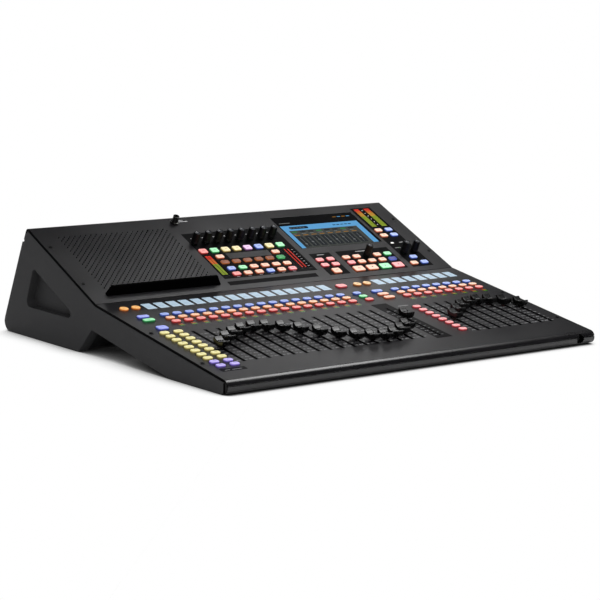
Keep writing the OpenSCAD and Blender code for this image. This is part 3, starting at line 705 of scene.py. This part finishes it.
def knob(node):
    pts = up.local(coords(node))
    lo, hi = pts.min(0), pts.max(0)
    x, s, top = (lo[0] + hi[0]) / 2, (lo[1] + hi[1]) / 2, hi[2]
    r = (hi[0] - lo[0]) / 2
    shape = Shape(up)

    def flutes(a, n):
        if n < 4.6 or n > top - 1.2:
            return 0
        return -0.28 * (0.5 + 0.5 * math.cos(24 * a))

    shape.turned(x, s, [(3.2, 1.4), (r - 0.5, 1.4), (r, 1.9), (r, 3.9), (r - 0.5, 4.4)],
                 knob_rubber, 96, close=(True, False))
    shape.turned(x, s, [(r - 0.5, 4.4), (r - 0.6, 4.7), (r - 0.62, 6), (r - 0.7, 12),
                        (r - 0.78, top - 1.3), (r - 0.8, top - 0.9), (r - 1.0, top - 0.35),
                        (r - 1.35, top - 0.05), (r - 1.8, top), (r - 2.1, top - 0.1),
                        (r - 2.3, top - 0.5)],
                 knob_rubber, 96, flutes, close=(False, False))
    # painted highlight on the top dish
    shape.turned(x, s, [(r - 2.3, top - 0.5), (r - 2.5, top - 0.62), (1.0, top - 0.8)],
                 knob_top_painted_sheen, 96, close=(False, True))
    shape.box(x - 0.35, x + 0.35, s + 1.6, s + r - 2.6, top - 0.9, top - 0.55, ink_white)
    shape.turned(x, s, [(2.95, -9.8), (2.95, 1.8)], steel, 32)
    shape.make(node + "_grip", node, "knob_rubber", (node,), angle=50)
    return x, s, r


knob_places = {n: knob(n) for n in sorted(nodes) if n.endswith("_knob")
               or n.startswith("encoder_knob")}

# ---------------------------------------------------------------- printed areas


def holes(found, gap=0.5):
    return [(x - w / 2 - gap, x + w / 2 + gap, s - l / 2 - gap, s + l / 2 + gap)
            for x, s, w, l, _ in found]


flat_keys = [k for row in upper_keys for k in row]
windows = spots("meter_windows", up, -3)
windows = [w for w in windows if abs(w[4]) < 0.3]
busy = holes(flat_keys) + holes(windows, 0.15)
busy += [(x - 4, x + 4, s - 4, s + 4) for x, s, r in knob_places.values()]

prints = Shape(up)
PATCHES = ((246, 423.4, 97.4, 160), (246, 423.4, 30.5, 82.5), (246, 290, 82.5, 97.4),
           (370.5, 423.4, 82.5, 97.4), (436.7, 477.3, 12.7, 75), (489.6, 596.2, 12.7, 75),
           (607, 650, 12.7, 195))
for x0, x1, s0, s1 in PATCHES:
    sheet(prints, x0, x1, s0, s1, -0.02, 0.07, print_black, busy)
sheet(prints, 245, 414, 12.7, 22.7, -0.02, 0.07, print_black)
prints.make("upper_printing", "console", "panel_paint")

marks = Shape(up)
for x, s, r in knob_places.values():
    if s > 100:
        marks.box(x + 0.6, x + 3.2, s + 13, s + 14.3, 0.0, 0.1, ink_white)
for x, s, w, l, _ in flat_keys:
    if s < 45 and w < 15 and x < 430:
        marks.box(x - 3, x + 3, s - 6.6, s - 5.8, 0.0, 0.1, ink_grey)
marks.box(450, 464, 69.5, 71, 0.0, 0.1, ink_white)
marks.box(528, 548, 69.5, 71, 0.0, 0.1, ink_white)
marks.box(262, 280, 194.2, 196, 0.0, 0.1, ink_white)
marks.box(264, 273, 198, 199.4, 0.0, 0.1, ink_white)
marks.box(632, 640, 84.3, 85.6, 0.0, 0.1, ink_white)
marks.box(612, 624, 69.5, 70.7, 0.0, 0.1, ink_grey)
marks.make("upper_marks", "console", "panel_paint")

# lower panel: scale ticks beside the slots, legend patch, fader field
slots = [(low.local(coords(n))) for n in cap_nodes]
slot_x = [(p[:, 0].min() + p[:, 0].max()) / 2 for p in slots]
scale = Shape(low)
TICKS = (59, 68.5, 78, 88, 98, 108, 119, 130, 142, 154, 166)
for x in slot_x:
    for j, s in enumerate(TICKS):
        long_tick = j in (0, 4, 7, 10)
        for side in (-1, 1):
            a, b = x + side * 3.8, x + side * (8.2 if long_tick else 7.2)
            scale.box(min(a, b), max(a, b), s - 0.5, s + 0.5, 0.0, 0.06, ink_grey)
        scale.box(x - 10.2, x - 8.4, s - 0.9, s + 0.9, 0.0, 0.06, ink_grey)
scale.box(450, 470, 182.4, 183.6, 0.0, 0.06, ink_white)
scale.box(24, 32, 31.6, 32.5, 0.03, 0.12, ink_grey)
scale.box(36, 52, 31.6, 32.5, 0.03, 0.12, ink_grey)
scale.make("lower_marks", "console", "panel_paint")
field = Shape(low)
for x in slot_x:                                          # black margin round each slot
    sheet(field, x - 2.9, x + 2.9, 53.8, 181.2, 0.02, 0.08, print_black,
          [(x - 1.7, x + 1.7, 54.9, 180.1)])
field.pad(38.5, 33, 41, 10, 1, 0.0, 0.08, print_black)
main_x = slot_x[cap_nodes.index("fader_cap_main")]
sheet(field, main_x - 14.5, main_x + 15.5, 46, 200, 0.0, 0.05, print_black,
      [(main_x - 1.7, main_x + 1.7, 54.9, 180.1)])
field.make("lower_printing", "console", "panel_paint")

# ---------------------------------------------------------------- lit things

lcd = lamp("channel_lcd", lin(196, 220, 238), 0.7, 0.25)
lcd_ink = surface("lcd_ink", lin(140, 170, 200), 0.5, 900, 0.1)
panes = Shape(low)
for i, (x, s, w, l, top) in enumerate(spots("channel_displays", low, -0.6)):
    panes.pad(x, s, w - 2.2, l - 2.6, 0.6, -0.1, 0.08, lcd)
    panes.box(x - 6.2, x - 2.5, s + 7.4, s + 8.4, 0.0, 0.12, lcd_ink)
    for j in range(2):
        panes.box(x - 5.4, x + 1 + (i * 7 + j * 5) % 4, s - 1.6 - 3.4 * j, s - 1 - 3.4 * j, 0.0,
                  0.12, lcd_ink)
panes.make("channel_display_panes", "console", "channel_lcd")

led = {name: lamp("led_" + name, lin(*c), g) for name, c, g in (
    ("red", (205, 45, 28), 0.75), ("orange", (200, 95, 30), 0.75), ("amber", (190, 140, 45), 0.7),
    ("lime", (140, 160, 38), 0.6), ("green", (60, 150, 45), 0.6), ("white", (245, 245, 240), 1.2))}
segments = Shape(up)


def bar(x0, x1, s0, s1, count, colours):
    """A column of LED segments; colours are (share of the height, name)."""
    pitch = (s1 - s0) / count
    for i in range(count):
        share = (i + 0.5) / count
        name = next(n for limit, n in colours if share <= limit)
        segments.box(x0, x1, s0 + i * pitch + pitch * 0.12, s0 + (i + 1) * pitch - pitch * 0.12,
                     -0.05, 0.12, led[name])


bar(249.6, 254.2, 41.5, 95, 16, ((0.55, "lime"), (0.8, "orange"), (1, "red")))
bar(255, 259.6, 41.5, 95, 16, ((0.55, "lime"), (0.8, "orange"), (1, "red")))
for x in (402, 408.5):
    bar(x - 1.1, x + 1.1, 41.5, 95, 16, ((1, "red"),))
for x0, x1 in ((613, 623), (634, 645)):
    bar(x0, x1, 136, 192, 17, ((0.6, "lime"), (0.76, "amber"), (0.86, "orange"), (1, "red")))
for j in range(6):
    segments.turned(628.3, 142 + 9 * j, [(0.7, -0.05), (0.7, 0.12)], led["white"], 10)
for j in range(8):
    segments.box(414, 417.5, 44 + 6.8 * j, 44.7 + 6.8 * j, -0.05, 0.12, ink_white)
segments.pad(617, 85, 6.4, 3.4, 1.6, 0.0, 0.25, led["white"])
segments.turned(620.7, 70, [(0.8, 0), (0.8, 0.2)], led["green"], 12)
segments.make("meter_segments", "console", "meter_lens")
dim = {name: lamp("strip_" + name, lin(*c), 0.85, 0.3) for name, c in (
    ("red", (150, 62, 30)), ("orange", (140, 96, 34)), ("lime", (110, 116, 38)),
    ("green", (48, 112, 38)))}
strip = Shape(low)
for x, s, w, l, top in spots("meter_windows", low, -0.6):
    if abs(top) < 0.3 and l < 12:
        for j, name in enumerate(("green", "lime", "orange", "red")):
            a = s - l / 2 + 0.7 + j * (l - 1.4) / 4
            strip.box(x - w / 2 + 1, x + w / 2 - 1, a + 0.25, a + (l - 1.4) / 4 - 0.25, -0.05,
                      0.12, dim[name])
strip.make("strip_segments", "console", "meter_lens")

# touch display: a plain made-up page of controls
ui = {name: lamp("ui_" + name, lin(*c), g, 0.3, 0.15) for name, c, g in (
    ("blue", (92, 158, 208), 0.8), ("pale", (150, 200, 232), 0.8), ("grey", (74, 77, 74), 0.6),
    ("slate", (46, 50, 53), 0.5), ("light", (120, 124, 124), 0.6), ("amber", (170, 118, 46), 0.6),
    ("navy", (20, 44, 66), 0.4), ("green", (62, 120, 76), 0.6))}
page = Shape(up)
sheet(page, 437, 595, 92.6, 159, 0.0, 0.05, ui["blue"], [(445, 584, 92.6, 144)])
page.box(445, 584, 92.6, 144, 0.0, 0.04, ui["grey"])
page.pad(470, 151.6, 38, 7, 3, 0.02, 0.1, ui["navy"])
for i in range(5):
    page.box(540 + 8 * i, 546 + 8 * i, 150.6, 152.6, 0.02, 0.1, ui["navy"])
    page.box(452 + 6.4 * i, 456.4 + 6.4 * i, 150.9, 152.3, 0.05, 0.14, ui["light"])
columns = 8
for i in range(columns):
    x = 453 + 16.6 * i
    page.box(x - 6.6, x + 6.6, 96, 126, 0.02, 0.08, ui["slate"])
    page.box(x - 0.4, x + 0.4, 99, 123, 0.04, 0.12, ui["light"])
    page.pad(x, 104 + (i * 5) % 14, 4.2, 2.4, 0.8, 0.04, 0.16, ui["light"])
    page.box(x - 5, x + 5, 129, 130.6, 0.02, 0.1, ui["amber"])
    page.box(x - 5.4, x + (1 + i * 3 % 5), 133.4, 134.8, 0.02, 0.1, ui["light"])
    page.pad(x, 139.4, 11, 4.2, 1.2, 0.02, 0.1, ui["green"] if i % 3 == 0 else ui["slate"])
for i in range(4):
    page.box(556 + 9.5 * i, 563 + 9.5 * i, 174, 175.6, 0.02, 0.08,
             ui["amber"] if i % 2 == 0 else ui["blue"])
page.box(441, 462, 166, 167.6, 0.02, 0.08, ui["light"])
page.make("display_page", "console", "display_glass")

# ---------------------------------------------------------------- rear socket details

detail = Shape(rear)
for x, s, w, l, top in spots("panel_sockets", rear, 0.3):
    if 25 < w < 27 and 29 < l < 32:                       # microphone sockets
        detail.turned(x, s, [(8.4, -9), (8.4, -2.2), (7.9, -1.6)], socket_black, 32,
                      close=(False, True))
        for a in (90, 210, 330):
            px, ps = x + 3.7 * math.cos(math.radians(a)), s + 3.7 * math.sin(math.radians(a))
            detail.turned(px, ps, [(1.5, -1.7), (1.5, -1.35), (1.0, -1.35), (1.0, -1.5)],
                          contact_metal, 14)
        detail.pad(x, s - 12.4, 9, 4.4, 1, 1.8, 3.2, socket_black, 0.6)
        detail.box(x - 2.6, x + 2.6, s - 13, s - 12.4, 3.1, 3.35, ink_grey)
        for side in (-1, 1):
            detail.turned(x + side * 9.6, s + side * 12, [(2.6, 1.9), (2.6, 2.4), (2.1, 2.8),
                          (1.0, 2.9), (0.9, 2.3)], screw_black, 20)
    elif 11 < w < 14.5 and 10 < l < 14.5 and x < -70:     # jack sockets
        detail.turned(x, s, [(4.9, 1.7), (4.9, 2.5), (3.9, 2.7), (3.4, 2.6), (3.3, 0.5)],
                      contact_metal, 32, close=(False, False))
        detail.box(x + 1.6, x + 3.1, s - 0.7, s + 0.7, -6, -1, contact_metal)
    elif w < 18 and s > 120:                              # network and data sockets
        for i in range(8):
            px = x - w * 0.29 + i * w * 0.083
            detail.box(px, px + w * 0.04, s + l * 0.1, s + l * 0.34, -6, -5.2, contact_metal)
        detail.box(x - w * 0.4, x - w * 0.22, s - l * 0.44, s - l * 0.3, 0.9, 1.15, led["green"])
        detail.box(x + w * 0.22, x + w * 0.4, s - l * 0.44, s - l * 0.3, 0.9, 1.15, led["amber"])
    if l > 13 and s < 135:
        half = min(w, 26) * 0.22
        detail.box(x - half, x + half, s + l / 2 + 2.2, s + l / 2 + 3.4, 0.0, 0.06, ink_grey)
detail.make("socket_details", "console", "socket_black")

# ---------------------------------------------------------------- carried-over nodes

CARRIED = {
    "left_cheek": (cheek_grain_and_painted_shade, 0.7), "right_cheek": (cheek_grain_and_painted_shade, 0.7),
    "upper_panel": (panel_paint, 0.18), "lower_panel": (panel_paint, 0.18),
    "front_rail": (rail_paint, 0.3), "chassis_pan": (chassis_paint, 0.2),
    "tablet_ledge": (ledge_rubber, 0.5), "touch_display": (glass_black, 0.15),
    "channel_displays": (lens_black, 0.1), "meter_windows": (lens_black, 0.1),
    "fader_bodies": (steel, 0), "circuit_boards": (board_green, 0),
    "power_supply": (supply_steel, 0.3), "panel_sockets": (socket_black, 0.15),
    "lamp_socket": (lamp_metal, 0.2), "panel_screws": (screw_black, 0.12),
    "rubber_feet": (foot_rubber, 0.8), "power_rocker": (rocker_black, 0.3),
}
for name, (material, width) in CARRIED.items():
    o = nodes[name]
    o.data.materials.clear()
    o.data.materials.append(material)
    weld = o.modifiers.new("join", "WELD")
    weld.merge_threshold = 1e-6
    if width:
        b = o.modifiers.new("soft_edges", "BEVEL")
        b.width = width * MM
        b.segments = 2
        b.limit_method = "ANGLE"
        b.angle_limit = math.radians(38)
        b.use_clamp_overlap = False
        b.miter_outer = "MITER_ARC"
    w = o.modifiers.new("shade", "WEIGHTED_NORMAL")
    w.keep_sharp = False

# ---------------------------------------------------------------- stage

floor = bpy.data.meshes.new("floor")
floor.from_pydata([(-40, -40, 0), (40, -40, 0), (40, 40, 0), (-40, 40, 0)], [], [(0, 1, 2, 3)])
floor_object = bpy.data.objects.new("floor", floor)
bpy.context.scene.collection.objects.link(floor_object)
t = Tree("floor_white_painted_shadow")
ray = t.add("ShaderNodeLightPath")
# painted shadow: camera rays see the floor as white light darkened by occlusion near the console
shade = t.add("ShaderNodeAmbientOcclusion", samples=16, Distance=0.07)
shine = t.add("ShaderNodeEmission")
t.join(t.ramp(shade.outputs["AO"], (0.12, (0.003, 0.003, 0.003)), (0.42, (0.12, 0.12, 0.12)),
              (0.62, (0.7, 0.7, 0.7)), (0.8, (1, 1, 1))), shine.inputs["Color"])
both = t.add("ShaderNodeMixShader")
t.put("Base Color", t.ramp(t.noise(4, 3), (0.3, (0.7,) * 3), (0.7, (0.74,) * 3)))
t.put("Roughness", 0.8)
t.join(ray.outputs["Is Camera Ray"], both.inputs[0])
t.join(t.bsdf.outputs[0], both.inputs[1])
t.join(shine.outputs[0], both.inputs[2])
t.join(both.outputs[0], t.out.inputs[0])
floor.materials.append(t.material)
floor_object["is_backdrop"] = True

world = bpy.data.worlds.new("studio")
bpy.context.scene.world = world
world.use_nodes = True
tree = world.node_tree
tree.nodes.clear()
out = tree.nodes.new("ShaderNodeOutputWorld")
seen, soft = tree.nodes.new("ShaderNodeBackground"), tree.nodes.new("ShaderNodeBackground")
pick, path = tree.nodes.new("ShaderNodeMixShader"), tree.nodes.new("ShaderNodeLightPath")
fill, shiny = tree.nodes.new("ShaderNodeBackground"), tree.nodes.new("ShaderNodeMixShader")
place, split = tree.nodes.new("ShaderNodeTexCoord"), tree.nodes.new("ShaderNodeSeparateXYZ")
grade = tree.nodes.new("ShaderNodeValToRGB")
tree.links.new(place.outputs["Generated"], split.inputs[0])
tree.links.new(split.outputs["Z"], grade.inputs[0])
grade.color_ramp.elements[0].position = 0.0
grade.color_ramp.elements[0].color = (0.5, 0.5, 0.51, 1)
grade.color_ramp.elements[1].position = 0.9
grade.color_ramp.elements[1].color = (0.85, 0.85, 0.87, 1)
tree.links.new(grade.outputs[0], soft.inputs[0])
soft.inputs[1].default_value = 0.55
fill.inputs[0].default_value = (0.02, 0.02, 0.021, 1)      # dark studio in reflections
seen.inputs[0].default_value = (1, 1, 1, 1)
tree.links.new(path.outputs["Is Glossy Ray"], shiny.inputs[0])
tree.links.new(soft.outputs[0], shiny.inputs[1])
tree.links.new(fill.outputs[0], shiny.inputs[2])
tree.links.new(path.outputs["Is Camera Ray"], pick.inputs[0])
tree.links.new(shiny.outputs[0], pick.inputs[1])
tree.links.new(seen.outputs[0], pick.inputs[2])
tree.links.new(pick.outputs[0], out.inputs[0])


def area(name, where, size, power, aim=(0, 0, 0.05)):
    light = bpy.data.lights.new(name, "AREA")
    light.shape, light.size, light.size_y, light.energy = "RECTANGLE", size[0], size[1], power
    o = bpy.data.objects.new(name, light)
    o.location = where
    o.rotation_mode = "QUATERNION"
    o.rotation_quaternion = (Vector(aim) - Vector(where)).to_track_quat("-Z", "Y")
    bpy.context.scene.collection.objects.link(o)
    o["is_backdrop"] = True


area("softbox_top", (0.7, -0.05, 1.35), (1.1, 0.7), 12)
area("softbox_rear", (1.0, 1.3, 0.74), (0.9, 0.4), 1.05, (-0.1, -0.2, 0.04))
area("softbox_front", (-1.6, -2.2, 1.4), (1.4, 1.0), 5)

# camera at the photo's angle
AZ, EL, ROLL, DIST = math.radians(-37.856), math.radians(9.334), math.radians(0.894), 3.027
back = Vector((math.sin(AZ) * math.cos(EL), -math.cos(AZ) * math.cos(EL), math.sin(EL)))
right = Vector((math.cos(AZ), math.sin(AZ), 0))
upward = back.cross(right)
r2 = right * math.cos(ROLL) + upward * math.sin(ROLL)
u2 = upward * math.cos(ROLL) - right * math.sin(ROLL)
cam = bpy.data.objects.new("camera", bpy.data.cameras.new("camera"))
bpy.context.scene.collection.objects.link(cam)
cam.data.sensor_width = 36
cam.data.lens = 36 * 2002.8 / 600
cam.matrix_world = Matrix.Translation(
    Vector((0, 0, 0.060)) + DIST * back + 0.002308 * r2 - 0.003162 * u2) @ Matrix(
    (r2, u2, back)).transposed().to_4x4()
cam.data.clip_end = 100
bpy.context.scene.camera = cam
cam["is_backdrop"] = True
bpy.context.scene.view_settings.view_transform = "Standard"

lo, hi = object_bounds()
